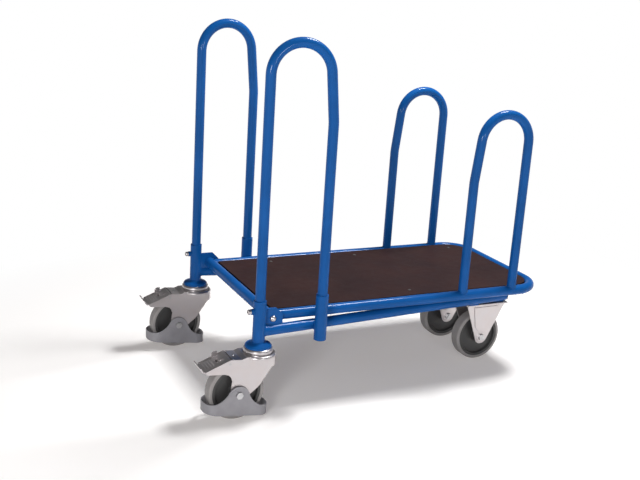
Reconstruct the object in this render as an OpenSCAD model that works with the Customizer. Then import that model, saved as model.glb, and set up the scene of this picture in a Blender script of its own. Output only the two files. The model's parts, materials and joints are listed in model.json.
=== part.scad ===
/* [Chassis] */
// How much further apart the corner posts' axes stand than the hinge tube is long
post_track = 28; // [24:1:36]
// Outer diameter of a corner post
post_d = 35; // [33:0.5:42]
// Height of a corner post's open top above the castors
post_top = 131; // [115:1:160]
// How much further apart a hoop's two legs stand than its crown is wide
second_post_x = 12; // [10:1:30]
// Gap between a rail and the second post beside it
second_post_out = 7.5; // [5:0.5:12]
// Height of the second post's cut lower end above the castors
second_post_base = 6; // [3:1:12]
// Height of the second post's open top above the castors
second_post_top = 137; // [120:1:160]
// Outer diameter of a chassis rail
rail_d = 30; // [26:0.5:32]
// Height of a rail's axis above the castors, at the corner post
rail_z_front = 42; // [38:1:50]
// Height of a rail's axis above the castors, over the fixed wheels
rail_z_back = 22; // [20:0.5:26]
// Distance of a rail from the middle, over the fixed wheels
rail_y_back = 155; // [140:1:170]
// Wall of the chassis and platform tubes
tube_wall = 2.5; // [2:0.1:3.5]
// Distance from the corner posts to the fixed wheels' axle
wheelbase = 834; // [700:1:1200]
// Width of a cross member
cross_w = 30; // [26:1:32]
// Height of a cross member
cross_h = 20; // [18:1:22]

/* [Hoops] */
// Outer diameter of a hoop tube
hoop_d = 28; // [25:0.5:28]
// Height of a tall hoop's crown, to the top of the tube
hoop_top = 1032; // [900:1:1100]
// Height of a short hoop's crown, to the top of the tube
short_hoop_top = 834; // [700:1:900]
// Radius of a hoop's crown, on the tube's axis
crown_r = 83; // [70:1:100]
// Lean of a hoop's kinked leg
hoop_lean = 5.7; // [4:0.1:8]
// Radius of the kink in a hoop's leg
kink_r = 150; // [100:5:200]
// Height of a tall hoop's lower end inside its post above the castors
hoop_foot = 40; // [36:1:60]
// Radial clearance of a hoop's leg in its post
leg_clear = 0.2; // [0.1:0.05:0.4]

/* [Platform] */
// Distance of the hinge axis behind the corner posts
hinge_x = 42; // [40:1:46]
// Height of the hinge axis and of the platform's tubes above the rails' front ends
hinge_z = 31; // [30:1:36]
// Outer diameter of the hinge tube
hinge_d = 31; // [31:0.5:33]
// Length of the hinge tube
hinge_l = 516; // [440:1:620]
// Outer diameter of the platform's tube
loop_d = 30; // [26:0.5:32]
// How far the platform's side tubes lie in from the hinge tube's ends
loop_y = 20; // [18:1:33]
// Distance of the platform's end tube behind the fixed wheels' axle
loop_end = 128.5; // [110:0.5:160]
// Radius of the platform's rounded corners, on the tube's axis
loop_r = 85; // [60:1:100]
// Thickness of the deck board
deck_t = 12; // [9:0.5:13]
// How far the deck's face lies below the crown of the tubes
deck_sink = 3; // [2:0.5:5]
// Gap all round the deck board
deck_gap = 0.5; // [0.3:0.1:2]
// Distance of the short hoop's back leg ahead of the platform's end tube
short_hoop_x = 112; // [100:1:200]
// Distance of the deck's first support behind the corner posts
support_start = 220; // [190:1:240]
// Distance between the deck's first two supports
support_gap = 300; // [250:1:350]
// Width of a support under the deck
support_w = 30; // [25:1:40]
// Height of a support under the deck
support_h = 18; // [14:0.5:18]

/* [Wheels] */
// Diameter of every wheel
wheel_d = 160; // [140:1:200]
// Width of a tyre
tyre_w = 36; // [32:1:40]
// Radial thickness of a tyre
tyre_t = 10; // [9:1:12]
// Height of every castor's mounting face above the top of its wheel
castor_h = 40; // [38:0.5:60]
// How far the fixed wheels stand in from the rails
fixed_track = 55; // [50:1:70]
// Diameter of an axle bolt
axle_d = 12; // [10:1:12]
// Outer diameter of the bush on an axle
bush_d = 20; // [18:1:22]
// Radial clearance of every turning pin
run_clear = 0.05; // [0.03:0.01:0.08]

/* [Swivel castors] */
// Distance of the swivel wheel's axle from the swivel axis
trail = 64; // [56:1:68]
// Diameter of the flange under a corner post
flange_d = 74; // [70:1:80]
// Diameter of the swivel head
head_d = 84; // [80:1:88]
// Half the width between the fork's cheeks
fork_in = 30.5; // [28:0.5:31]
// Thickness of the fork's sheet
fork_t = 3.5; // [3:0.1:4]
// Diameter of the castor's stem
stem_d = 16; // [14:1:18]
// How much longer the foot guard is than its wheel
guard_l = 25; // [22:1:30]
// Gap between a fork's cheek and the foot guard
guard_y = 3; // [2:0.5:5]
// Tilt of the foot guard, with its back end up
guard_tilt = 7; // [0:0.5:9]
// Thickness of the foot guard
guard_t = 3; // [2.5:0.1:3]

/* [Fixed castors] */
// Length of the top plate
plate_l = 150; // [146:1:154]
// Width of the top plate
plate_w = 110; // [104:1:114]
// Thickness of the top plate
plate_t = 4; // [3:0.5:5]
// Distance between bolts along the top plate
plate_bolt_x = 106; // [102:1:110]
// Distance between bolts across the top plate
plate_bolt_y = 50; // [48:1:51]
// Lean of a fork's legs, which stand wider apart at the top
leg_flare = 5; // [4.5:0.1:5.5]

/* [Hardware] */
// Diameter of a hinge bolt
hinge_bolt_d = 10; // [8:1:12]
// Thickness of a hinge bracket
bracket_t = 6; // [4:0.5:6]
// Diameter of a hoop's clamp bolt
clamp_d = 8; // [6:1:10]
// Distance of a hoop's clamp bolt below the top of its post
clamp_z = 30; // [20:1:40]
// Diameter of a castor bolt
castor_bolt_d = 10; // [8:1:10]

/* [Hidden] */
$fn = 64;

// Shared values
eps = 0.01;
slack = 0.3;
big = 400;
near = -1;
far = 1;
blue = [0.10, 0.33, 0.62];
zinc = [0.80, 0.79, 0.80];
steel = [0.66, 0.67, 0.69];
dark = [0.20, 0.19, 0.20];
guard_grey = [0.56, 0.57, 0.59];
tyre_grey = [0.55, 0.52, 0.50];
brown = [0.27, 0.19, 0.18];

// Heights of the castors' mounting faces, and of what stands on them
wheel_r = wheel_d / 2;
face_z = wheel_d + castor_h;
pivot_z = face_z + rail_z_front + hinge_z;
post_z = face_z + post_top;
screw_z = post_z - clamp_z;
foot_z = face_z + hoop_foot;

// Places along and across the truck
end_x = wheelbase + loop_end;
leg_gap = 2 * crown_r + second_post_x;
post_y = (hinge_l + post_track) / 2;
side_y = hinge_l / 2 - loop_y;
fixed_y = rail_y_back - fixed_track;

// The origin lies on the floor under the middle of the whole length
lip_x = -109.5;
back_reach = trail - lip_x;
front_reach = end_x + loop_d / 2;
swivel_x = (back_reach - front_reach) / 2;

// Rails, from a corner post to past the fixed castors
rail_dy = (post_y - rail_y_back) / wheelbase;
rail_dz = (rail_z_front - rail_z_back) / wheelbase;
rail_end_x = wheelbase + plate_l / 2 - 10;
function rail_z(x) = face_z + rail_z_front - rail_dz * x;
function rail_point(side, x) = [x, side * (post_y - rail_dy * x), rail_z(x)];

// Hoops: width of a tall one between its two posts, and of the short ones
second_y = post_y - rail_dy * leg_gap + rail_d / 2 + second_post_out + post_d / 2;
hoop_w = norm([leg_gap, second_y - post_y]);
hoop_turn = atan2(second_y - post_y, leg_gap);
post_bore = hoop_d + 2 * leg_clear;
flange_h = 13;
boss_l = 8;

// Board, supports and the buffers that carry them
deck_top = pivot_z + loop_d / 2 - deck_sink;
deck_y = side_y - loop_d / 2 - deck_gap;
deck_x0 = hinge_x + hinge_d / 2 + deck_gap;
deck_x1 = end_x - loop_d / 2 - deck_gap;
deck_r = loop_r - loop_d / 2 - deck_gap;
support_x = [support_start, support_start + support_gap, wheelbase + plate_bolt_x / 2];
support_top = deck_top - deck_t;
cross_x = [wheelbase - plate_bolt_x / 2, wheelbase + plate_bolt_x / 2];
cross_top = face_z + cross_h;
buffer_d = 28;
buffer_y = rail_y_back - 45;

insert_d = 14;
insert_h = 8;

// Castors
crown_z = face_z - 13;
crown_low = crown_z - 1.5;
crown_t = 5;
hood_r = 50;
hood_round = 6;
cheek_y = fork_in + fork_t;
core_r = wheel_r - tyre_t;
seat_y = fork_in + 5.5;
guard_out = cheek_y + guard_y + guard_t;
guard_len = wheel_d + guard_l;
fork_tip_r = 23.5;
pin_x = -28;
pin_z = -29;
pin_d = 8;
pedal_w = 2 * fork_in - 3;

module placed() {
    translate([swivel_x, 0, 0])
        children();
}

module at_castor(side) {
    placed()
        translate([0, side * post_y, 0])
            children();
}

// The place above a swivel wheel's axle at the height of the castor's mounting face
module at_arm(side) {
    at_castor(side)
        translate([-trail, 0, face_z])
            children();
}

module at_fixed(side) {
    placed()
        translate([wheelbase, side * fixed_y, 0])
            children();
}

// A rod from point p to point q
module rod(p, q, d) {
    v = q - p;
    translate(p)
        rotate([0, atan2(norm([v[0], v[1]]), v[2]), atan2(v[1], v[0])])
            cylinder(h = norm(v), d = d);
}

// A rod along Y, centred on the XZ plane
module cross_rod(l, d) {
    rotate([90, 0, 0])
        cylinder(h = l, d = d, center = true);
}

// A solid from a side view, whose second coordinate is height, centred on the XZ plane
module side_slab(w) {
    rotate([90, 0, 0])
        linear_extrude(height = w, center = true)
            children();
}

// A hexagon bar along Z
module hex_bar(h, across) {
    cylinder(h = h, d = across / cos(30), $fn = 6);
}

// Part of a ring of rod, in the XY plane, from angle a by sweep
module rod_arc(r, d, a, sweep) {
    rotate([0, 0, a])
        rotate_extrude(angle = sweep)
            translate([r, 0])
                circle(d = d);
}

// Corner posts
module corner_post(side) {
    color(blue)
        at_castor(side)
            difference() {
                translate([0, 0, face_z + flange_h])
                    cylinder(h = post_z - face_z - flange_h, d = post_d);
                translate([0, 0, face_z])
                    cylinder(h = post_z, d = post_bore);
                translate([0, 0, screw_z])
                    rotate([0, -90, 0])
                        cylinder(h = post_d, d = clamp_d + 2 * leg_clear);
            }
}

module corner_post_near() { corner_post(near); }
module corner_post_far() { corner_post(far); }

// Round flange that the swivel castor bolts up against
module castor_flange(side) {
    rim_h = 5;
    color(blue)
        at_castor(side)
            translate([0, 0, face_z])
                rotate_extrude()
                    polygon([[stem_d / 2 + run_clear, 0], [flange_d / 2, 0], [flange_d / 2, rim_h],
                        [flange_d / 2 - 4, rim_h + 4], [post_d / 2 + 2, flange_h],
                        [stem_d / 2 + run_clear, flange_h]]);
}

module castor_flange_near() { castor_flange(near); }
module castor_flange_far() { castor_flange(far); }

// Second posts, which hold the hoops' other legs
module second_post(side) {
    base_z = face_z + second_post_base;
    color(blue)
        placed()
            translate([leg_gap, side * second_y, base_z])
                difference() {
                    cylinder(h = second_post_top - second_post_base, d = post_d);
                    translate([0, 0, -eps])
                        cylinder(h = post_z, d = post_bore);
                }
}

module second_post_near() { second_post(near); }
module second_post_far() { second_post(far); }

// Plates welded between the rails and the second posts
module second_post_tabs() {
    tab_l = 20;
    tab_h = 20;
    color(blue)
        placed()
            for (side = [near, far])
                difference() {
                    p = rail_point(side, leg_gap);
                    post_at = side * second_y;
                    y0 = abs(p[1]);
                    translate([leg_gap - tab_l / 2, side > 0 ? y0 : -abs(post_at), p[2] - tab_h / 2])
                        cube([tab_l, abs(post_at) - y0, tab_h]);
                    rod(rail_point(side, 0), rail_point(side, rail_end_x), rail_d);
                    translate([leg_gap, post_at, 0])
                        cylinder(h = post_z, d = post_d);
                }
}

// Side rails, running inwards and slightly down to the fixed castors
module side_rail(side) {
    p = rail_point(side, 0);
    q = rail_point(side, rail_end_x);
    color(blue)
        placed()
            difference() {
                rod(p, q, rail_d);
                rod(rail_point(side, -10), rail_point(side, rail_end_x + 10), rail_d - 2 * tube_wall);
                translate([0, side * post_y, 0])
                    cylinder(h = post_z, d = post_d);
            }
}

module side_rail_near() { side_rail(near); }
module side_rail_far() { side_rail(far); }

// Tubes that tie the rails and carry the fixed castors
module cross_member(x) {
    half = abs(rail_point(far, x)[1]) - 6;
    color(blue)
        placed()
            difference() {
                translate([x - cross_w / 2, -half, face_z])
                    cube([cross_w, 2 * half, cross_h]);
                translate([x - cross_w / 2 + tube_wall, tube_wall - half, face_z + tube_wall])
                    cube([cross_w - 2 * tube_wall, 2 * (half - tube_wall), cross_h - 2 * tube_wall]);
                for (side = [near, far]) {
                    rod(rail_point(side, 0), rail_point(side, rail_end_x + 10), rail_d);
                    for (dy = [-1, 1])
                        translate([x, side * fixed_y + dy * plate_bolt_y / 2, face_z - eps])
                            cylinder(h = tube_wall + 1, d = insert_d + 2 * run_clear);
                }
            }
}

module cross_member_front() { cross_member(cross_x[0]); }
module cross_member_back() { cross_member(cross_x[1]); }

// Threaded inserts in the cross members, for the castor bolts
module castor_inserts() {
    color(steel)
        for (side = [near, far])
            at_fixed(side)
                for (dx = [-1, 1], dy = [-1, 1])
                    translate([dx * plate_bolt_x / 2, dy * plate_bolt_y / 2, face_z])
                        difference() {
                            cylinder(h = insert_h, d = insert_d);
                            translate([0, 0, -eps])
                                cylinder(h = insert_h + 1, d = castor_bolt_d + 2 * run_clear);
                        }
}

// Plugs that close the rails' back ends
module rail_caps() {
    cap_t = 3;
    plug_l = 14;
    color(dark)
        placed()
            for (side = [near, far]) {
                rod(rail_point(side, rail_end_x), rail_point(side, rail_end_x + cap_t), rail_d);
                rod(rail_point(side, rail_end_x - plug_l), rail_point(side, rail_end_x),
                    rail_d - 2 * tube_wall - 2 * run_clear);
            }
}

// Rubber buffers on the back cross member, under the platform
module rest_buffers() {
    color(dark)
        placed()
            for (side = [near, far])
                translate([cross_x[1], side * buffer_y, cross_top])
                    difference() {
                        cylinder(h = support_top - support_h - slack - cross_top, d = buffer_d);
                        translate([0, 0, support_top - support_h - slack - cross_top - 4])
                            cylinder(h = 5, d = 10);
                    }
}

// Plates on the corner posts and rails that carry the platform's hinge
module hinge_bracket(side) {
    plate_z0 = rail_z(0) - 3;
    plate_z1 = pivot_z + 30;
    plate_x1 = hinge_x + 30;
    cut = 20;
    inner = hinge_l / 2 + 2;
    color(blue)
        placed()
            difference() {
                translate([0, side * (inner + bracket_t / 2), 0])
                    side_slab(bracket_t)
                        difference() {
                            polygon([[5, plate_z0], [plate_x1, plate_z0], [plate_x1, plate_z1 - cut],
                                [plate_x1 - cut, plate_z1], [5, plate_z1]]);
                            translate([hinge_x, pivot_z])
                                circle(d = hinge_bolt_d + 2 * run_clear);
                        }
                translate([0, side * post_y, 0])
                    cylinder(h = post_z, d = post_d);
                rod(rail_point(side, 0), rail_point(side, rail_end_x), rail_d);
            }
}

module hinge_bracket_near() { hinge_bracket(near); }
module hinge_bracket_far() { hinge_bracket(far); }

// Socket-head screws that are the hinge's pins
module hinge_bolts() {
    head_h = 6.5;
    head_r = 8.7;
    grip = 26;
    face = hinge_l / 2 + 2 + bracket_t + slack;
    color(zinc)
        placed()
            for (side = [near, far])
                translate([hinge_x, side * face, pivot_z])
                    rotate([-90 * side, 0, 0])
                        difference() {
                            union() {
                                translate([0, 0, -grip])
                                    cylinder(h = grip, d = hinge_bolt_d);
                                rotate_extrude()
                                    polygon([[0, 0], [head_r, 0], [head_r, 2.5], [head_r - 1.5, 5],
                                        [head_r - 3.5, head_h], [0, head_h]]);
                            }
                            translate([0, 0, head_h - 4])
                                hex_bar(5, 6);
                        }
}

// Threaded bosses on the corner posts
module clamp_bosses() {
    boss_d = 16;
    color(blue)
        placed()
            for (side = [near, far])
                difference() {
                    translate([0, side * post_y, screw_z])
                        rotate([0, -90, 0])
                            cylinder(h = post_d / 2 + boss_l, d = boss_d);
                    translate([0, side * post_y, screw_z])
                        rotate([0, -90, 0])
                            cylinder(h = post_d, d = clamp_d + 2 * run_clear);
                    translate([0, side * post_y, 0])
                        cylinder(h = post_z, d = post_d);
                }
}

// Screws that clamp the tall hoops in the corner posts
module clamp_bolts() {
    head_d = 14;
    head_h = 9;
    tip = hoop_d / 2 + slack;
    face = post_d / 2 + boss_l + slack;
    color(zinc)
        placed()
            for (side = [near, far])
                translate([0, side * post_y, screw_z])
                    rotate([0, -90, 0])
                        difference() {
                            union() {
                                translate([0, 0, tip])
                                    cylinder(h = face - tip + 1, d = clamp_d);
                                translate([0, 0, face])
                                    cylinder(h = head_h - 1.5, d = head_d);
                                translate([0, 0, face + head_h - 1.5])
                                    cylinder(h = 1.5, d1 = head_d, d2 = head_d - 2.5);
                            }
                            translate([0, 0, face + head_h - 5])
                                hex_bar(6, 6);
                        }
}

// A bent hoop of rod d in the XZ plane: its straight leg stands at x = 0 and its other leg at
// x = w, both down to height foot. The axis of its crown is at height top.
module hoop_rod(w, top, foot, d) {
    z0 = top - crown_r;
    a = hoop_lean;
    arc_x = crown_r + crown_r * cos(a);
    arc_z = z0 + crown_r * sin(a);
    lean_l = (w - arc_x - kink_r * (1 - cos(a))) / sin(a);
    bend_z = arc_z - lean_l * cos(a) - kink_r * sin(a);
    lap = 0.02;
    step = 0.1;
    translate([0, 0, z0]) {
        translate([0, 0, foot - z0])
            cylinder(h = z0 - foot, d = d);
        translate([crown_r, 0, 0])
            mirror([1, 0, 0])
                rotate([90, 0, 0])
                    rod_arc(crown_r, d, 0, 180 - a);
    }
    translate([w, 0, bend_z]) {
        translate([0, 0, foot - bend_z])
            cylinder(h = bend_z - foot, d = d);
        translate([-kink_r, 0, 0])
            rotate([90, 0, 0])
                rod_arc(kink_r, d, 0, a);
    }
    translate([arc_x, 0, arc_z])
        rotate([0, 180 - a, 0])
            translate([0, 0, -lap])
                cylinder(h = lean_l + 2 * lap, d = d + step);
}

module hoop_tube(w, top, foot) {
    difference() {
        hoop_rod(w, top - hoop_d / 2, foot, hoop_d);
        hoop_rod(w, top - hoop_d / 2, foot - 5, hoop_d - 2 * tube_wall);
    }
}

// Tall hoops, standing in the corner posts and second posts
module tall_hoop(side) {
    color(blue)
        at_castor(side)
            rotate([0, 0, side * hoop_turn])
                hoop_tube(hoop_w, hoop_top, foot_z);
}

module tall_hoop_near() { tall_hoop(near); }
module tall_hoop_far() { tall_hoop(far); }

// Short hoops, welded on the platform's side tubes with the kinked leg in front
module short_hoop(side) {
    color(blue)
        placed()
            difference() {
                translate([end_x - short_hoop_x, side * side_y, 0])
                    mirror([1, 0, 0])
                        hoop_tube(leg_gap, short_hoop_top, pivot_z);
                translate([0, side * side_y, pivot_z])
                    rotate([0, 90, 0])
                        cylinder(h = end_x, d = loop_d);
            }
}

module short_hoop_near() { short_hoop(near); }
module short_hoop_far() { short_hoop(far); }

// Nuts that hold the castors' stems, inside the posts
module stem_nuts() {
    nut_h = 13;
    nut_across = (post_bore - 1.2) * cos(30);
    color(zinc)
        placed()
            for (side = [near, far])
                translate([0, side * post_y, face_z + flange_h])
                    difference() {
                        hex_bar(nut_h, nut_across);
                        translate([0, 0, -eps])
                            cylinder(h = nut_h + 1, d = stem_d + 2 * run_clear);
                    }
}

// Swivel stem, its rivet head and the upper bearing race, which stay with the post
module swivel_stem(side) {
    race_z = crown_z + slack;
    rivet_z = crown_low - crown_t - slack;
    color(zinc)
        at_castor(side)
            rotate_extrude()
                polygon([[0, rivet_z - 5], [12, rivet_z - 5], [14, rivet_z - 3], [14, rivet_z],
                    [stem_d / 2, rivet_z], [stem_d / 2, race_z], [head_d / 2 - 4, race_z],
                    [head_d / 2 - 1.4, race_z + 1], [head_d / 2 - 0.3, race_z + 3.2],
                    [head_d / 2, race_z + 5.6], [head_d / 2 - 0.6, face_z - 4.2],
                    [head_d / 2 - 2.1, face_z - 1.6], [head_d / 2 - 4.4, face_z],
                    [stem_d / 2, face_z], [stem_d / 2, face_z + flange_h + 16],
                    [0, face_z + flange_h + 16]]);
}

module swivel_stem_near() { swivel_stem(near); }
module swivel_stem_far() { swivel_stem(far); }

// Height profile of the swivel fork's top, lowered by a distance
function fork_top(low) = [[hood_r + 1, crown_low - low], [-3 - head_d / 2, crown_low - low],
    [-16 - head_d / 2, face_z - 19.5 - low], [-trail - 26, face_z - 16.5 - low],
    [-trail - 94, face_z - 43.5 - low]];

// Side view of the swivel fork: a hood in front, an arm behind and a leg down to the axle
module fork_view() {
    axle_x = -trail;
    polygon(concat(fork_top(0), [[axle_x - 95.5, face_z - 48], [axle_x - 90, face_z - 53.5],
        [axle_x - 42, face_z - 57], [axle_x - 30, face_z - 61], [axle_x - 23, face_z - 69],
        [axle_x - 20, face_z - 80], [axle_x - 22, wheel_r + 24], [axle_x - fork_tip_r, wheel_r + 3],
        [axle_x + 14, wheel_r - 19], [axle_x + 40, wheel_r + 3], [axle_x + 52, wheel_r + 12],
        [axle_x + 60, wheel_r + 20], [hood_r - 20, face_z - 50], [hood_r - 15, face_z - 47],
        [hood_r + 1, face_z - 46]]));
    translate([axle_x, wheel_r])
        circle(r = fork_tip_r);
}

// Region inside the swivel fork's sheet
module fork_room() {
    polygon(concat(fork_top(crown_t), [[-big, face_z - 60], [-big, 0], [big, 0],
        [big, crown_low - crown_t]]));
}

// Round head of the swivel fork, with a rounded upper edge
module fork_head(low) {
    mid_r = hood_r - hood_round;
    mid_z = crown_low - hood_round;
    edge = [for (a = [0:15:90]) [mid_r + hood_round * cos(a), mid_z + hood_round * sin(a)]];
    rotate_extrude()
        polygon(concat([[0, low], [hood_r, low]], edge, [[0, crown_low]]));
}

// Fork of a swivel castor: one pressed shell, open below and behind
module swivel_fork(side) {
    lip = 1;
    roof_end = -trail - 20;
    color(zinc)
        at_castor(side)
            difference() {
                union() {
                    intersection() {
                        union() {
                            side_slab(2 * cheek_y)
                                fork_view();
                            side_slab(2 * (cheek_y + lip))
                                difference() {
                                    fork_view();
                                    fork_room();
                                }
                        }
                        union() {
                            fork_head(0);
                            translate([-big, -big / 2, 0])
                                cube([big, big, big]);
                        }
                    }
                    fork_head(crown_low - hood_round - 0.5);
                    translate([0, 0, crown_low - crown_t])
                        cylinder(h = crown_z - crown_low + crown_t, d = head_d - 6);
                }
                intersection() {
                    side_slab(2 * fork_in)
                        fork_room();
                    union() {
                        cylinder(h = big, r = hood_r - fork_t);
                        translate([-big, -big / 2, 0])
                            cube([big, big, big]);
                    }
                }
                translate([roof_end - big, -fork_in, 0])
                    cube([big, 2 * fork_in, big]);
                cylinder(h = big, d = stem_d + 2 * run_clear);
                translate([-trail, 0, wheel_r])
                    cross_rod(big, axle_d + 2 * run_clear);
                translate([pin_x - trail, 0, face_z + pin_z])
                    cross_rod(big, pin_d + 2 * run_clear);
            }
}

module swivel_fork_near() { swivel_fork(near); }
module swivel_fork_far() { swivel_fork(far); }

// Side view of the foot guard, about the axle: a low skirt that rises to a rounded top
module guard_view() {
    low = -60;
    high = -32;
    top_r = 31;
    top_z = -6;
    flank_x = 85;
    rise = top_z - high;
    flank_r = (flank_x * flank_x + rise * rise - top_r * top_r) / (2 * (top_r + rise));
    flank_z = high + flank_r;
    knee_z = top_z + top_r * sin(atan((flank_z - top_z) / flank_x));
    rotate(-guard_tilt)
        difference() {
            union() {
                translate([-guard_len, low])
                    square([2 * guard_len, high - low]);
                translate([-flank_x, high - 1])
                    square([2 * flank_x, knee_z - high + 1]);
                translate([0, top_z])
                    circle(r = top_r);
            }
            for (s = [-1, 1])
                translate([s * flank_x, flank_z])
                    circle(r = flank_r);
        }
}

// Plan of the foot guard, drawn in by a distance
module guard_plan(inset) {
    half = guard_len / 2 - inset;
    w = guard_out - inset;
    r = guard_out - 4 - inset;
    for (sx = [-1, 1], sy = [-1, 1])
        translate([sx * (half - r), sy * (w - r)])
            circle(r = r);
    square([2 * half - 2 * r, 2 * w], center = true);
    square([2 * half, 2 * w - 2 * r], center = true);
}

// Plastic foot guard round a swivel wheel
module foot_guard(side) {
    color(guard_grey)
        at_castor(side)
            translate([-trail, 0, 0])
                difference() {
                    intersection() {
                        side_slab(2 * guard_out)
                            translate([0, wheel_r])
                                guard_view();
                        linear_extrude(height = big)
                            guard_plan(0);
                    }
                    translate([0, 0, -1])
                        linear_extrude(height = big)
                            guard_plan(guard_t);
                    translate([0, 0, wheel_r])
                        cross_rod(big, axle_d + 2 * run_clear);
                }
}

module foot_guard_near() { foot_guard(near); }
module foot_guard_far() { foot_guard(far); }

// Axle bolt with its head on the truck's outer side, its nut and the bush that the wheel turns on
module axle_set(side, half, inner) {
    head_h = 6;
    tip = 2;
    translate([0, 0, wheel_r]) {
        cross_rod(2 * half, axle_d);
        cross_rod(2 * inner, bush_d);
        translate([0, side * half, 0])
            rotate([-side * 90, 0, 0])
                hex_bar(head_h, 18);
        translate([0, -side * (half + head_h), 0])
            rotate([-side * 90, 0, 0])
                hex_bar(head_h, 18);
        translate([0, -side * (half + head_h + tip), 0])
            rotate([-side * 90, 0, 0])
                cylinder(h = tip + 1, d = axle_d);
    }
}

module swivel_axle(side) {
    gap = guard_out - guard_t - cheek_y;
    color(steel)
        at_castor(side)
            translate([-trail, 0, 0]) {
                axle_set(side, guard_out, fork_in);
                for (s = [-1, 1])
                    translate([0, s * (cheek_y + gap / 2), wheel_r])
                        cross_rod(gap, 24);
            }
}

module swivel_axle_near() { swivel_axle(near); }
module swivel_axle_far() { swivel_axle(far); }

// Pin that the brake pedal turns on, flush with the fork
module brake_pin(side) {
    color(steel)
        at_arm(side)
            translate([pin_x, 0, pin_z])
                cross_rod(2 * cheek_y, pin_d);
}

module brake_pin_near() { brake_pin(near); }
module brake_pin_far() { brake_pin(far); }

// Rivet in the fork's roof that holds the brake's spring
module brake_rivet(side) {
    head_r = 4;
    head_h = 2.2;
    dome_r = 5;
    p = fork_top(0)[2];
    q = fork_top(0)[3];
    share = 0.41;
    color(steel)
        at_castor(side)
            translate([p[0] + share * (q[0] - p[0]), 0, p[1] + share * (q[1] - p[1])])
                rotate([0, atan((q[1] - p[1]) / (p[0] - q[0])), 0])
                    rotate_extrude()
                        intersection() {
                            translate([0, head_h - dome_r])
                                circle(r = dome_r);
                            square([head_r, dome_r]);
                        }
}

module brake_rivet_near() { brake_rivet(near); }
module brake_rivet_far() { brake_rivet(far); }

// Brake pedal: a plate level with the fork's arms, with a turned-up lip, a tongue and a tab,
// on a hub with a shoe over the tyre
module brake_pedal(side) {
    slope = atan(27 / 68);
    tongue_w = 18;
    tab_t = 3;
    shoe_gap = 3.2;
    shoe_lean = 26.4;
    shoe_r = wheel_r + shoe_gap;
    tip_x = -shoe_r * sin(shoe_lean);
    tip_z = wheel_r + shoe_r * cos(shoe_lean) - face_z;
    color(zinc)
        at_arm(side)
            difference() {
                union() {
                    side_slab(pedal_w)
                        polygon([[-23.5, -17.5], [-26.5, -17.5], [-94, -44.4], [-98, -45.4], [-101, -43.8],
                            [-107, -33.4], [lip_x, -34.6], [-103, -45.8], [-100, -48.4], [-94.5, -48],
                            [-27, -21], [-23.5, -21]]);
                    side_slab(tyre_w)
                        polygon([[-23, -24], [tip_x + 9, tip_z + 9.5], [tip_x, tip_z],
                            [tip_x - 8, tip_z + 4], [-42, -26]]);
                    side_slab(tongue_w)
                        polygon([[-37, -23], [-38, -19.4], [-51, -24.6], [-50, -29]]);
                    translate([0, pedal_w / 2 - tab_t / 2, 0])
                        side_slab(tab_t)
                            polygon([[-44, -26], [-44, -12.3], [-54.5, -12.3], [-60.5, -18.5], [-61, -32]]);
                    translate([pin_x, 0, pin_z])
                        cross_rod(pedal_w, pin_d + 8);
                    for (x = [-67, -74, -81, -88])
                        translate([x, 0, -18 + (27 + x) * tan(slope)])
                            cross_rod(pedal_w - 14, 2.4);
                }
                translate([pin_x, 0, pin_z])
                    cross_rod(big, pin_d + 2 * run_clear);
                translate([-55, 0, -29])
                    rotate([0, -slope, 0])
                        cube([7, tongue_w - 2, 24], center = true);
            }
}

module brake_pedal_near() { brake_pedal(near); }
module brake_pedal_far() { brake_pedal(far); }

// Tyre, turned about the wheel's axis
module tyre() {
    shoulder = tyre_t / 2 - 0.2;
    half = tyre_w / 2;
    translate([0, 0, wheel_r])
        rotate([90, 0, 0])
            rotate_extrude($fn = 96)
                union() {
                    translate([core_r, -half])
                        square([tyre_t - shoulder, tyre_w]);
                    translate([core_r, -half + shoulder])
                        square([tyre_t, tyre_w - 2 * shoulder]);
                    for (s = [-1, 1])
                        translate([wheel_r - shoulder, s * (half - shoulder)])
                            circle(r = shoulder);
                }
}

// Wheel body with a dished web, a hub and a bore for the bush
module wheel_core() {
    bore_r = bush_d / 2 + run_clear;
    hub_r = 19;
    hub_half = fork_in - 1;
    rim_half = tyre_w / 2 - 1;
    rim_t = 8;
    web_half = 9;
    translate([0, 0, wheel_r])
        rotate([90, 0, 0])
            rotate_extrude($fn = 96)
                polygon([[bore_r, -hub_half], [hub_r - 2, -hub_half], [hub_r, -hub_half + 2],
                    [hub_r + 3, -web_half], [core_r - rim_t - 2, -web_half],
                    [core_r - rim_t, -rim_half], [core_r, -rim_half], [core_r, rim_half],
                    [core_r - rim_t, rim_half], [core_r - rim_t - 2, web_half],
                    [hub_r + 3, web_half], [hub_r, hub_half - 2], [hub_r - 2, hub_half],
                    [bore_r, hub_half]]);
}

module swivel_tyre_near() { color(tyre_grey) at_castor(near) translate([-trail, 0, 0]) tyre(); }
module swivel_tyre_far() { color(tyre_grey) at_castor(far) translate([-trail, 0, 0]) tyre(); }
module swivel_core_near() { color(dark) at_castor(near) translate([-trail, 0, 0]) wheel_core(); }
module swivel_core_far() { color(dark) at_castor(far) translate([-trail, 0, 0]) wheel_core(); }
module fixed_tyre_near() { color(tyre_grey) at_fixed(near) tyre(); }
module fixed_tyre_far() { color(tyre_grey) at_fixed(far) tyre(); }
module fixed_core_near() { color(dark) at_fixed(near) wheel_core(); }
module fixed_core_far() { color(dark) at_fixed(far) wheel_core(); }

// Side view of a fixed fork's leg: a taper down to a round end
module leg_view() {
    tip_r = 22;
    top_half = plate_l / 2 - 4;
    top = face_z - plate_t + 1;
    a = atan((top_half - tip_r) / (top - wheel_r));
    polygon([[-top_half, top], [top_half, top], [tip_r * cos(a), wheel_r - tip_r * sin(a)],
        [-tip_r * cos(a), wheel_r - tip_r * sin(a)]]);
    translate([0, wheel_r])
        circle(r = tip_r);
}

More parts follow.
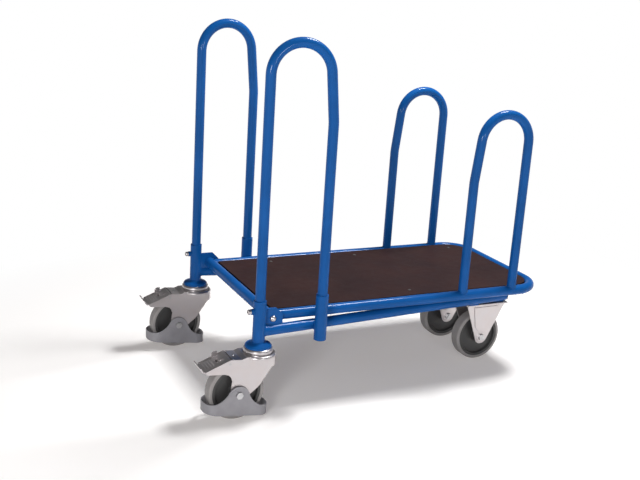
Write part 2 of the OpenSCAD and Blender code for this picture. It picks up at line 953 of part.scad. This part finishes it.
// Side view of the raised panel on a fixed fork's leg
module rib_view() {
    polygon([[-44, face_z - 12], [44, face_z - 12], [29, wheel_r + 38], [14, wheel_r + 22],
        [-14, wheel_r + 22], [-29, wheel_r + 38]]);
}

// Fork of a fixed castor: a top plate, two flared legs with a raised panel, and flat axle seats
module fixed_fork(side) {
    below = 18;
    lean_z = wheel_r - below;
    lean_y = fork_in + run_clear + fork_t / 2 / cos(leg_flare) - (below - bush_d / 2) * tan(leg_flare);
    seat_w = seat_y - fork_in - 0.5;
    rib_h = 2;
    color(zinc)
        at_fixed(side)
            difference() {
                union() {
                    translate([-plate_l / 2, -plate_w / 2, face_z - plate_t])
                        cube([plate_l, plate_w, plate_t]);
                    for (s = [-1, 1]) {
                        translate([0, s * lean_y, lean_z])
                            rotate([-s * leg_flare, 0, 0])
                                translate([0, 0, -lean_z]) {
                                    side_slab(fork_t)
                                        leg_view();
                                    translate([0, s * rib_h, 0])
                                        side_slab(fork_t)
                                            rib_view();
                                }
                        translate([0, s * (seat_y - seat_w / 2), wheel_r])
                            cross_rod(seat_w, 32);
                    }
                }
                translate([0, 0, wheel_r])
                    cross_rod(big, axle_d + 2 * run_clear);
                for (dx = [-1, 1], dy = [-1, 1])
                    translate([dx * plate_bolt_x / 2, dy * plate_bolt_y / 2, face_z - 10])
                        cylinder(h = 20, d = castor_bolt_d + 2 * leg_clear);
            }
}

module fixed_fork_near() { fixed_fork(near); }
module fixed_fork_far() { fixed_fork(far); }

module fixed_axle(side) {
    color(steel)
        at_fixed(side)
            axle_set(side, seat_y, fork_in);
}

module fixed_axle_near() { fixed_axle(near); }
module fixed_axle_far() { fixed_axle(far); }

// Screws that hold the fixed castors to the inserts
module castor_bolts() {
    head_h = 6.5;
    low = face_z - plate_t;
    color(zinc)
        for (side = [near, far])
            at_fixed(side)
                for (dx = [-1, 1], dy = [-1, 1])
                    translate([dx * plate_bolt_x / 2, dy * plate_bolt_y / 2, low]) {
                        translate([0, 0, -1])
                            cylinder(h = plate_t + insert_h - 1, d = castor_bolt_d);
                        translate([0, 0, -head_h])
                            hex_bar(head_h, 16);
                    }
}

// Hinge tube across the platform's front end
module hinge_tube() {
    color(blue)
        placed()
            translate([hinge_x, 0, pivot_z])
                difference() {
                    cross_rod(hinge_l, hinge_d);
                    cross_rod(hinge_l + 2, hinge_d - 2 * tube_wall);
                }
}

// Threaded plugs in the ends of the hinge tube
module hinge_plugs() {
    plug_l = 20;
    color(steel)
        placed()
            for (s = [-1, 1])
                translate([hinge_x, s * (hinge_l - plug_l) / 2, pivot_z])
                    difference() {
                        cross_rod(plug_l, hinge_d - 2 * tube_wall - 2 * run_clear);
                        cross_rod(plug_l + 2, hinge_bolt_d + 2 * run_clear);
                    }
}

// Rod along the platform's loop: two sides, two corners and the end
module loop_rod(d, start) {
    corner_x = end_x - loop_r;
    corner_y = side_y - loop_r;
    translate([0, 0, pivot_z]) {
        for (s = [-1, 1])
            translate([start, s * side_y, 0])
                rotate([0, 90, 0])
                    cylinder(h = corner_x - start, d = d);
        translate([corner_x, corner_y, 0])
            rod_arc(loop_r, d, 0, 90);
        translate([corner_x, -corner_y, 0])
            rod_arc(loop_r, d, -90, 90);
        translate([end_x, 0, 0])
            cross_rod(2 * corner_y, d);
    }
}

// Bent tube round three sides of the platform
module platform_loop() {
    color(blue)
        placed()
            difference() {
                loop_rod(loop_d, hinge_x);
                loop_rod(loop_d - 2 * tube_wall, hinge_x - 5);
                translate([hinge_x, 0, pivot_z])
                    cross_rod(hinge_l, hinge_d);
            }
}

// Flat bars welded across the loop, under the deck
module deck_supports() {
    color(blue)
        placed()
            for (x = support_x)
                difference() {
                    translate([x - support_w / 2, -side_y, support_top - support_h])
                        cube([support_w, 2 * side_y, support_h]);
                    translate([x - support_w / 2 + tube_wall, -side_y, support_top - support_h - eps])
                        cube([support_w - 2 * tube_wall, 2 * side_y, support_h - tube_wall]);
                    loop_rod(loop_d + slack, hinge_x);
                    for (s = [-1, 1])
                        translate([x, s * (side_y + loop_d / 4), pivot_z])
                            cube([2 * support_w, loop_d / 2 + 4, big / 4], center = true);
                }
}

// Coated plywood board inside the loop
module deck_board() {
    color(brown)
        placed()
            translate([0, 0, support_top])
                linear_extrude(height = deck_t)
                    difference() {
                        union() {
                            translate([deck_x0, -deck_y])
                                square([deck_x1 - deck_r - deck_x0, 2 * deck_y]);
                            translate([deck_x0, -deck_y + deck_r])
                                square([deck_x1 - deck_x0, 2 * deck_y - 2 * deck_r]);
                            for (s = [-1, 1])
                                translate([deck_x1 - deck_r, s * (deck_y - deck_r)])
                                    circle(r = deck_r);
                        }
                        for (x = support_x, s = [-1, 1])
                            translate([x, s * (deck_y - 40)])
                                circle(d = 5 + 2 * run_clear);
                    }
}

// Countersunk-looking screws that hold the board on its supports
module deck_screws() {
    color(dark)
        placed()
            for (x = support_x, s = [-1, 1])
                translate([x, s * (deck_y - 40), 0]) {
                    translate([0, 0, support_top])
                        cylinder(h = deck_t, d = 5);
                    translate([0, 0, deck_top])
                        cylinder(h = 1.2, d1 = 11, d2 = 8);
                }
}

corner_post_near();
corner_post_far();
castor_flange_near();
castor_flange_far();
second_post_near();
second_post_far();
second_post_tabs();
side_rail_near();
side_rail_far();
cross_member_front();
cross_member_back();
castor_inserts();
rail_caps();
rest_buffers();
hinge_bracket_near();
hinge_bracket_far();
hinge_bolts();
clamp_bosses();
clamp_bolts();
tall_hoop_near();
tall_hoop_far();
stem_nuts();
swivel_stem_near();
swivel_stem_far();
fixed_fork_near();
fixed_fork_far();
fixed_axle_near();
fixed_axle_far();
castor_bolts();
hinge_tube();
hinge_plugs();
platform_loop();
deck_supports();
deck_board();
deck_screws();
short_hoop_near();
short_hoop_far();
swivel_fork_near();
swivel_fork_far();
foot_guard_near();
foot_guard_far();
swivel_axle_near();
swivel_axle_far();
brake_pin_near();
brake_pin_far();
brake_rivet_near();
brake_rivet_far();
brake_pedal_near();
brake_pedal_far();
swivel_tyre_near();
swivel_tyre_far();
swivel_core_near();
swivel_core_far();
fixed_tyre_near();
fixed_tyre_far();
fixed_core_near();
fixed_core_far();
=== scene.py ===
"""Long goods platform truck: finishes, weld beads, floor, lights and camera."""
import json
import math

import bmesh
import bpy
from mathutils import Matrix, Vector


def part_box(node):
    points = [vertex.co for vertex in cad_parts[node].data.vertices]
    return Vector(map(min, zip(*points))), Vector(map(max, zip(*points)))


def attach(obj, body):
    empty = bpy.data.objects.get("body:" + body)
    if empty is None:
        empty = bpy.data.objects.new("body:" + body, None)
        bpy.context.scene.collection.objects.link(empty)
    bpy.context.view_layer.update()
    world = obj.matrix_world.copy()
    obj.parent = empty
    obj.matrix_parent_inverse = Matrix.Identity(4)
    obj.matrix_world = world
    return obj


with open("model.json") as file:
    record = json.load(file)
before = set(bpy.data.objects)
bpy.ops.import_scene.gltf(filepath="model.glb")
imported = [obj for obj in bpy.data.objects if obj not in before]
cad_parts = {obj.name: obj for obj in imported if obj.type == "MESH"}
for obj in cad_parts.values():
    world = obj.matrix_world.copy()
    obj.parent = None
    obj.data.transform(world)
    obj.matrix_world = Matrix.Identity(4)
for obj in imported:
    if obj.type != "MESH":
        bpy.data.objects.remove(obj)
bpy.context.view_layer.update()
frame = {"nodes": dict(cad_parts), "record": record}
SLOT_OF = {s["node"]: s["material_slot"] for s in frame["record"]["subparts"]}

# Camera: place in metres, turn in degrees, and focal length in pixels of a picture 640 wide
CAMERA_AT = (-1.3772, -2.6001, 1.2325)
CAMERA_YAW = 26.13
CAMERA_DIP = 15.98
CAMERA_ROLL = 3.69
FOCAL_PIXELS = 993.7
PICTURE_WIDE = 640
SENSOR = 36.0

# Sizes of CAD pieces that their boxes don't give, in metres
WHEELBASE = 0.834
RAIL_FRONT_Z = 0.242
RAIL_DROP = 0.020 / WHEELBASE
RAIL_TAPER = 0.117 / WHEELBASE
HOOP_R = 0.014
SECOND_POST_Y = 0.287

# Weld beads, in metres: thickness, length of a ripple and the points it is made of
WELD_R = 0.0019
TAB_WELD_R = 0.0015
RIPPLE = 0.0022
RIPPLE_STEPS = 4
BEAD_SIDES = 8
BEAD_POINTS_MIN = 8
SEAM_STEPS = 72

# A bead's size between ripples, what a ripple and a slow wander add, and how its ends taper
BEAD_VALLEY = 0.86
BEAD_RIPPLE = 0.14
BEAD_WANDER = 0.05
WANDER_TURN = 0.37
END_SIZE = 0.35
END_GROWTH = 0.2

# Where the beads run, in metres
SEAM_LEAD = 0.1
FOOT_BEAD_OUT = 0.0008
BRACKET_SEAM_X = 0.022
BRACKET_SEAM_STEP = 0.006
BRACKET_SEAM_POINTS = 9
BRACKET_SEAM_FOOT = 0.262
BRACKET_SEAM_GAP = 0.002
TAB_SEAM_HALF = 0.009

# Colours, linear
BLUE = (0.007, 0.098, 0.350)
BLUE_DEEP = (0.005, 0.083, 0.300)
ZINC = (0.545, 0.518, 0.528)
ZINC_WARM = (0.545, 0.50246, 0.5016)
STEEL = (0.55, 0.55, 0.56)
STEEL_DARK = (0.4675, 0.4675, 0.476)
DECK = (0.032, 0.019, 0.020)
DECK_WARM = (0.044, 0.023, 0.022)
GUARD = (0.318, 0.308, 0.332)
TREAD = (0.330, 0.310, 0.305)
CORE = (0.050, 0.049, 0.049)
RUBBER = (0.020, 0.020, 0.020)
MOULDED_SHADE = 0.88
WHITE = (1.0, 1.0, 1.0, 1.0)

# Range of a noise that is stretched from 0 to 1. The narrower it is, the sharper the clouds
WIDE_RANGE = (0.3, 0.7)
NARROW_RANGE = (0.35, 0.65)
GLOSS_SPREAD = 0.06
EDGE_SAMPLES = 4

# Floor: its white starts at one distance from the middle and is full at another, in metres
FLOOR_COLOUR = (0.84, 0.83, 0.82)
FLOOR_ROUGH = 0.9
FLOOR_LIFT = 0.24
SHADE_COLOUR = (1.00, 0.93, 0.91)
FLOOR_NEAR = 0.75
FLOOR_FAR = 1.35
FLOOR_OVAL = (0.75, 1.0, 0.0)
FLOOR_HALF = 30.0

# World: strength for matt surfaces. Gloss sees white up to a low height, which dims to the
# ceiling's strength at another. Heights are those of a direction of length 1
WORLD_LIGHT = 0.07
CEILING = 0.10
WHITE_UP_TO = 0.02
CEILING_FROM = 0.28

# Lamps: name, place and side in metres, and power in watts. All face one point
LAMPS_FACE = (0.0, 0.0, 0.4)
LAMPS = (
    ("top", (1.2, 0.15, 3.2), 0.9, 131.0),
    ("left", (-2.3, -2.5, 1.1), 0.62, 42.0),
    ("right", (0.1, -3.1, 0.9), 0.32, 11.0),
)


def box_middle(node):
    """Middle and half size of a CAD node's box at rest, in metres."""
    low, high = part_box(node)
    return (low + high) / 2, (high - low) / 2


# CAD pieces that the weld beads follow. The near side mirrors the far side
POST, POST_HALF = box_middle("corner_post_far")
POST_R = POST_HALF.x
FLANGE_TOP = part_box("castor_flange_far")[1].z
LOOP, LOOP_HALF = box_middle("platform_loop")
TUBE_R = LOOP_HALF.z
LOOP_Y = LOOP_HALF.y - TUBE_R
HINGE, HINGE_HALF = box_middle("hinge_tube")
HINGE_R = HINGE_HALF.x
HOOP, HOOP_HALF = box_middle("short_hoop_far")
HOOP_LEGS_X = (HOOP.x - HOOP_HALF.x + HOOP_R, HOOP.x + HOOP_HALF.x - HOOP_R)
BRACKET_FACE_Y, BRACKET_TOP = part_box("hinge_bracket_far")[1].yz
TAB, TAB_HALF = box_middle("second_post_tabs")


# Shader helpers
def set_inputs(node, values):
    for name, value in values.items():
        node.inputs[name].default_value = value


def ramp(tree, value, low, high, start, end):
    """Maps a value between low and high to the range from start to end."""
    node = tree.nodes.new("ShaderNodeMapRange")
    set_inputs(node, {"From Min": low, "From Max": high, "To Min": start, "To Max": end})
    tree.links.new(value, node.inputs["Value"])
    return node.outputs["Result"]


def blend_colours(tree, value, first, second):
    node = tree.nodes.new("ShaderNodeMix")
    node.data_type = "RGBA"
    set_inputs(node, {"A": (*first, 1.0), "B": (*second, 1.0)})
    tree.links.new(value, node.inputs["Factor"])
    return node.outputs["Result"]


def combine(tree, operation, first, second):
    """A math node on two values, each a socket or a number."""
    node = tree.nodes.new("ShaderNodeMath")
    node.operation = operation
    for value, socket in zip((first, second), node.inputs):
        if isinstance(value, float):
            socket.default_value = value
        else:
            tree.links.new(value, socket)
    return node.outputs[0]


def mix_shaders(tree, share, first, second):
    """The first shader where the share is 0, the second where it is 1."""
    node = tree.nodes.new("ShaderNodeMixShader")
    for value, socket in zip((share, first, second), node.inputs):
        tree.links.new(value, socket)
    return node.outputs[0]


class Finish:
    """A Principled material that gets its details one by one."""

    def __init__(self, name, inputs):
        self.material = bpy.data.materials.new(name)
        self.material.use_nodes = True
        self.tree = self.material.node_tree
        self.shader = self.tree.nodes["Principled BSDF"]
        self.place = self.tree.nodes.new("ShaderNodeTexCoord").outputs["Object"]
        set_inputs(self.shader, inputs)

    def noise(self, cells, detail, rough=0.5):
        """Noise of a number of cells a metre."""
        node = self.tree.nodes.new("ShaderNodeTexNoise")
        set_inputs(node, {"Scale": cells, "Detail": detail, "Roughness": rough})
        self.tree.links.new(self.place, node.inputs["Vector"])
        return node.outputs["Fac"]

    def tone(self, first, second, cells, detail, clouds=WIDE_RANGE, rough=0.5):
        """Base colour that drifts from one colour to another and back."""
        value = ramp(self.tree, self.noise(cells, detail, rough), *clouds, 0.0, 1.0)
        colour = blend_colours(self.tree, value, first, second)
        self.tree.links.new(colour, self.shader.inputs["Base Color"])

    def gloss(self, low, high, cells, detail):
        """Roughness that drifts between two values. If it crosses 0.274, specks are left."""
        value = ramp(self.tree, self.noise(cells, detail), *WIDE_RANGE, low, high)
        self.tree.links.new(value, self.shader.inputs["Roughness"])

    def relief(self, height, depth, strength, edge):
        """Bump of a depth in metres, over edges that are rounded by a radius in metres."""
        bump = self.tree.nodes.new("ShaderNodeBump")
        set_inputs(bump, {"Strength": strength, "Distance": depth})
        self.tree.links.new(height, bump.inputs["Height"])
        bevel = self.tree.nodes.new("ShaderNodeBevel")
        bevel.samples = EDGE_SAMPLES
        bevel.inputs["Radius"].default_value = edge
        self.tree.links.new(bevel.outputs["Normal"], bump.inputs["Normal"])
        self.tree.links.new(bump.outputs["Normal"], self.shader.inputs["Normal"])

    def film_mesh(self, cells, scatter, groove):
        """Height of nearly square cells with narrow grooves between them."""
        node = self.tree.nodes.new("ShaderNodeTexVoronoi")
        node.feature = "DISTANCE_TO_EDGE"
        set_inputs(node, {"Scale": cells, "Randomness": scatter})
        self.tree.links.new(self.place, node.inputs["Vector"])
        return ramp(self.tree, node.outputs["Distance"], 0.0, groove, 0.0, 1.0)


# Finishes
def blue_coat():
    """Blue powder coat: satin gloss, a faint orange peel and small changes of tone."""
    finish = Finish("blue_coat", {
        "Specular IOR Level": 0.03,
        "Coat Weight": 0.30,
        "Coat IOR": 1.42,
        "Coat Roughness": 0.07,
    })
    finish.tone(BLUE_DEEP, BLUE, cells=9.0, detail=2.0, clouds=NARROW_RANGE)
    finish.gloss(0.34, 0.44, cells=60.0, detail=4.0)
    orange_peel = finish.noise(cells=420.0, detail=2.0)
    finish.relief(orange_peel, depth=0.00006, strength=0.6, edge=0.0012)
    return finish.material


def zinc():
    """Bright zinc plate: pale metal with cloudy gloss."""
    finish = Finish("zinc", {"Metallic": 0.9})
    finish.tone(ZINC_WARM, ZINC, cells=30.0, detail=4.0)
    finish.gloss(0.295, 0.335, cells=90.0, detail=5.0)
    dimples = finish.noise(cells=300.0, detail=2.0)
    finish.relief(dimples, depth=0.00002, strength=0.4, edge=0.0010)
    return finish.material


def steel():
    """Plain turned steel."""
    finish = Finish("steel", {"Metallic": 1.0})
    finish.tone(STEEL_DARK, STEEL, cells=80.0, detail=3.0)
    finish.gloss(0.30, 0.38, cells=200.0, detail=4.0)
    marks = finish.noise(cells=1200.0, detail=2.0)
    finish.relief(marks, depth=0.00004, strength=0.5, edge=0.0006)
    return finish.material


def moulded(name, colour, rough, grain, depth):
    """Moulded plastic or rubber with a fine grain and a little mottling."""
    finish = Finish(name, {})
    dark = tuple(c * MOULDED_SHADE for c in colour)
    finish.tone(dark, colour, cells=45.0, detail=4.0)
    finish.gloss(rough - GLOSS_SPREAD, rough + GLOSS_SPREAD, cells=150.0, detail=3.0)
    finish.relief(finish.noise(cells=grain, detail=3.0), depth=depth, strength=0.6, edge=0.0012)
    return finish.material


def deck_film():
    """Dark brown film on plywood, with the fine mesh that the press leaves in it."""
    finish = Finish("deck_brown", {"Specular IOR Level": 0.02})
    finish.tone(DECK, DECK_WARM, cells=5.0, detail=6.0, clouds=NARROW_RANGE, rough=0.6)
    finish.gloss(0.46, 0.60, cells=40.0, detail=5.0)
    mesh = finish.film_mesh(cells=330.0, scatter=0.15, groove=0.25)
    finish.relief(mesh, depth=0.00012, strength=0.6, edge=0.0008)
    return finish.material


MATERIALS = {
    "blue_coat": blue_coat(),
    "zinc": zinc(),
    "steel": steel(),
    "black_plastic": moulded("black_plastic", CORE, rough=0.42, grain=500.0, depth=0.0001),
    "black_rubber": moulded("black_rubber", RUBBER, rough=0.70, grain=700.0, depth=0.0001),
    "guard_grey": moulded("guard_grey", GUARD, rough=0.50, grain=650.0, depth=0.00012),
    "tyre_grey": moulded("tyre_grey", TREAD, rough=0.62, grain=500.0, depth=0.00012),
    "deck_brown": deck_film(),
}


def dress_nodes():
    """Gives each CAD node the material of its slot."""
    for name, obj in frame["nodes"].items():
        obj.data.materials.clear()
        obj.data.materials.append(MATERIALS[SLOT_OF[name]])


def add_object(name, data):
    obj = bpy.data.objects.new(name, data)
    bpy.context.scene.collection.objects.link(obj)
    return obj


# Paths of the weld beads
def rail_axis(side, x):
    """A point on a side rail's axis, a distance behind the corner post."""
    y = side * (POST.y - RAIL_TAPER * x)
    return Vector((POST.x + x, y, RAIL_FRONT_Z - RAIL_DROP * x))


def full_turn(steps):
    """Angles of equal steps round a circle."""
    return [2 * math.pi * i / steps for i in range(steps)]


def seam(start, along, tube_r, axis_at, axis, other_r):
    """Points where a tube that runs from start meets the outside of another tube."""
    along, axis = Vector(along).normalized(), Vector(axis).normalized()
    first = along.cross(axis).normalized()
    second = along.cross(first)
    run = along - along.dot(axis) * axis
    points = []
    for turn in full_turn(SEAM_STEPS):
        point = Vector(start) + tube_r * (math.cos(turn) * first + math.sin(turn) * second)
        gap = point - Vector(axis_at)
        gap -= gap.dot(axis) * axis
        # The way to the other tube's surface is the smaller root of a quadratic
        half_b = gap.dot(run) / run.length_squared
        c = (gap.length_squared - other_r ** 2) / run.length_squared
        reach = -half_b - math.sqrt(max(0.0, half_b ** 2 - c))
        points.append(point + reach * along)
    return points


def ring(centre, radius):
    """Points of a level circle."""
    turns = full_turn(SEAM_STEPS)
    return [Vector(centre) + radius * Vector((math.cos(t), math.sin(t), 0.0)) for t in turns]


def resample(points, closed, gap):
    """The same path with points about a gap apart."""
    path = points + [points[0]] if closed else points
    lengths = [(b - a).length for a, b in zip(path, path[1:])]
    total = sum(lengths)
    count = max(BEAD_POINTS_MIN, round(total / gap))
    out, leg, walked = [], 0, 0.0
    for i in range(count if closed else count + 1):
        want = total * i / count
        while leg < len(lengths) - 1 and walked + lengths[leg] < want:
            walked += lengths[leg]
            leg += 1
        out.append(path[leg].lerp(path[leg + 1], (want - walked) / lengths[leg]))
    return out


# Weld beads
def bead_size(i, count, closed):
    """Thickness at a point of a bead, as a share of its radius."""
    ripple = BEAD_RIPPLE * abs(math.sin(math.pi * i / RIPPLE_STEPS))
    size = BEAD_VALLEY + ripple + BEAD_WANDER * math.sin(i * WANDER_TURN)
    if not closed:
        size *= min(1.0, END_SIZE + END_GROWTH * min(i, count - 1 - i))
    return size


def join_rings(mesh, low, high, shift=0):
    """Faces between two rings of points, the second turned by a number of points."""
    sides = len(low)
    for k in range(sides):
        a, b = (k + shift) % sides, (k + 1 + shift) % sides
        mesh.faces.new((low[k], low[(k + 1) % sides], high[b], high[a]))


def add_bead(mesh, points, closed=True, radius=WELD_R):
    """Adds a rippled weld bead along a path to a bmesh."""
    path = resample(points, closed, RIPPLE / RIPPLE_STEPS)
    count = len(path)
    turns = full_turn(BEAD_SIDES)
    rings = []
    first = None
    for i, point in enumerate(path):
        before = path[(i - 1) % count] if closed or i else point
        after = path[(i + 1) % count] if closed or i < count - 1 else point
        tangent = (after - before).normalized()
        if first is None:
            first = tangent.orthogonal().normalized()
        else:
            # Carried on from the ring before, so that the bead doesn't twist
            first = (first - first.dot(tangent) * tangent).normalized()
        second = tangent.cross(first)
        size = radius * bead_size(i, count, closed)
        corners = [point + size * (math.cos(t) * first + math.sin(t) * second) for t in turns]
        rings.append([mesh.verts.new(c) for c in corners])
    for low, high in zip(rings, rings[1:]):
        join_rings(mesh, low, high)
    if closed:
        end, start = rings[-1], rings[0]
        best = min(range(BEAD_SIDES), key=lambda k: (end[0].co - start[k].co).length)
        join_rings(mesh, end, start, best)
    else:
        mesh.faces.new(rings[0][::-1])
        mesh.faces.new(rings[-1])


def finish_piece(mesh, name, body, slot):
    """Makes an object of a bmesh, smooth, with its slot's material, riding on a body."""
    bmesh.ops.recalc_face_normals(mesh, faces=mesh.faces)
    data = bpy.data.meshes.new(name)
    mesh.to_mesh(data)
    mesh.free()
    data.shade_smooth()
    data.materials.append(MATERIALS[slot])
    obj = add_object(name, data)
    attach(obj, body)


def bracket_seams(mesh, side):
    """Beads along the hinge bracket's foot on the rail and its front edge on the corner post."""
    y = side * BRACKET_FACE_Y
    on_rail = []
    for i in range(BRACKET_SEAM_POINTS):
        at = rail_axis(side, BRACKET_SEAM_X + BRACKET_SEAM_STEP * i)
        on_rail.append(Vector((at.x, y, at.z + math.sqrt(TUBE_R ** 2 - (y - at.y) ** 2))))
    add_bead(mesh, on_rail, closed=False)
    x = POST.x + math.sqrt(POST_R ** 2 - (POST.y - BRACKET_FACE_Y) ** 2)
    heights = (BRACKET_SEAM_FOOT, BRACKET_TOP - BRACKET_SEAM_GAP)
    add_bead(mesh, [Vector((x, y, z)) for z in heights], closed=False)


def tab_seams(mesh, side):
    """Upright beads between a second post and the plate that holds it on the rail."""
    y = side * (SECOND_POST_Y - math.sqrt(POST_R ** 2 - TAB_HALF.x ** 2))
    heights = (TAB.z - TAB_SEAM_HALF, TAB.z + TAB_SEAM_HALF)
    for x in (TAB.x - TAB_HALF.x, TAB.x + TAB_HALF.x):
        ends = [Vector((x, y, z)) for z in heights]
        add_bead(mesh, ends, closed=False, radius=TAB_WELD_R)


def chassis_welds():
    mesh = bmesh.new()
    up = (0.0, 0.0, 1.0)
    for side in (-1, 1):
        post = (POST.x, side * POST.y, 0.0)
        foot = (POST.x, side * POST.y, FLANGE_TOP)
        add_bead(mesh, ring(foot, POST_R + FOOT_BEAD_OUT))
        start = rail_axis(side, SEAM_LEAD)
        forward = rail_axis(side, 0.0) - start
        add_bead(mesh, seam(start, forward, TUBE_R, post, up, POST_R))
        bracket_seams(mesh, side)
        tab_seams(mesh, side)
    finish_piece(mesh, "chassis_welds", "chassis", "blue_coat")


def platform_welds():
    mesh = bmesh.new()
    lengthways, crossways = (1, 0, 0), (0, 1, 0)
    forward, down = (-1, 0, 0), (0, 0, -1)
    for side in (-1, 1):
        tube = (0.0, side * LOOP_Y, LOOP.z)
        for x in HOOP_LEGS_X:
            start = (x, side * LOOP_Y, LOOP.z + SEAM_LEAD)
            add_bead(mesh, seam(start, down, HOOP_R, tube, lengthways, TUBE_R))
        start = (HINGE.x + SEAM_LEAD, side * LOOP_Y, LOOP.z)
        add_bead(mesh, seam(start, forward, TUBE_R, HINGE, crossways, HINGE_R))
    finish_piece(mesh, "platform_welds", "platform", "blue_coat")


# Floor, world, lamps and camera
def seen_directly(tree):
    """1 for rays that show the background: camera, glossy and transmission rays."""
    path = tree.nodes.new("ShaderNodeLightPath")
    value = path.outputs["Is Camera Ray"]
    for name in ("Is Glossy Ray", "Is Transmission Ray"):
        value = combine(tree, "MAXIMUM", value, path.outputs[name])
    return value


def way_out(finish):
    """0 on the floor near the middle, 1 far away, in an oval that is longer along X."""
    flat = finish.tree.nodes.new("ShaderNodeVectorMath")
    flat.operation = "MULTIPLY"
    flat.inputs[1].default_value = FLOOR_OVAL
    finish.tree.links.new(finish.place, flat.inputs[0])
    away = finish.tree.nodes.new("ShaderNodeVectorMath")
    away.operation = "LENGTH"
    finish.tree.links.new(flat.outputs[0], away.inputs[0])
    return ramp(finish.tree, away.outputs["Value"], FLOOR_NEAR, FLOOR_FAR, 0.0, 1.0)


def make_floor():
    """A pale floor that shows white where no shadow falls on it, and far away."""
    finish = Finish("floor", {
        "Base Color": (*FLOOR_COLOUR, 1.0),
        "Roughness": FLOOR_ROUGH,
        "Specular IOR Level": 0.0,
    })
    tree = finish.tree
    glow = tree.nodes.new("ShaderNodeEmission")
    glow.inputs["Color"].default_value = (*SHADE_COLOUR, 1.0)
    lift = combine(tree, "MULTIPLY", seen_directly(tree), FLOOR_LIFT)
    tree.links.new(lift, glow.inputs["Strength"])
    lit = tree.nodes.new("ShaderNodeAddShader")
    tree.links.new(finish.shader.outputs[0], lit.inputs[0])
    tree.links.new(glow.outputs[0], lit.inputs[1])
    white = tree.nodes.new("ShaderNodeEmission")
    shown = mix_shaders(tree, way_out(finish), lit.outputs[0], white.outputs[0])
    tree.links.new(shown, tree.nodes["Material Output"].inputs["Surface"])
    mesh = bpy.data.meshes.new("floor")
    far = FLOOR_HALF
    corners = [(-far, -far, 0.0), (far, -far, 0.0), (far, far, 0.0), (-far, far, 0.0)]
    mesh.from_pydata(corners, [], [(0, 1, 2, 3)])
    mesh.materials.append(finish.material)
    floor = add_object("floor", mesh)


def make_world():
    """Even studio light. The camera sees white, and gloss sees white under a dim ceiling."""
    world = bpy.data.worlds.new("studio")
    bpy.context.scene.world = world
    world.use_nodes = True
    tree = world.node_tree
    light = tree.nodes["Background"]
    set_inputs(light, {"Strength": WORLD_LIGHT, "Color": WHITE})
    place = tree.nodes.new("ShaderNodeTexCoord")
    split = tree.nodes.new("ShaderNodeSeparateXYZ")
    tree.links.new(place.outputs["Generated"], split.inputs[0])
    height = ramp(tree, split.outputs["Z"], WHITE_UP_TO, CEILING_FROM, 1.0, CEILING)
    path = tree.nodes.new("ShaderNodeLightPath")
    shown = tree.nodes.new("ShaderNodeBackground")
    shown.inputs["Color"].default_value = WHITE
    strength = combine(tree, "MAXIMUM", path.outputs["Is Camera Ray"], height)
    tree.links.new(strength, shown.inputs["Strength"])
    both = mix_shaders(tree, seen_directly(tree), light.outputs[0], shown.outputs[0])
    tree.links.new(both, tree.nodes["World Output"].inputs["Surface"])


def make_lamps():
    for name, at, side, power in LAMPS:
        data = bpy.data.lights.new(name, "AREA")
        data.shape = "SQUARE"
        data.size = side
        data.energy = power
        lamp = add_object(name, data)
        lamp.location = at
        ahead = Vector(LAMPS_FACE) - Vector(at)
        lamp.rotation_euler = ahead.to_track_quat("-Z", "Y").to_euler()


def make_camera():
    yaw, dip, roll = (math.radians(a) for a in (CAMERA_YAW, CAMERA_DIP, CAMERA_ROLL))
    x, y = math.sin(yaw) * math.cos(dip), math.cos(yaw) * math.cos(dip)
    ahead = Vector((x, y, -math.sin(dip)))
    level = Vector((math.cos(yaw), -math.sin(yaw), 0.0))
    above = level.cross(ahead)
    right = math.cos(roll) * level + math.sin(roll) * above
    up = math.cos(roll) * above - math.sin(roll) * level
    turn = Matrix((right, up, -ahead)).transposed().to_4x4()
    data = bpy.data.cameras.new("camera")
    data.sensor_width = SENSOR
    data.lens = FOCAL_PIXELS * SENSOR / PICTURE_WIDE
    camera = add_object("camera", data)
    camera.matrix_world = Matrix.Translation(CAMERA_AT) @ turn
    bpy.context.scene.camera = camera


dress_nodes()
chassis_welds()
platform_welds()
make_floor()
make_world()
make_lamps()
make_camera()
bpy.context.scene.view_settings.view_transform = "Standard"
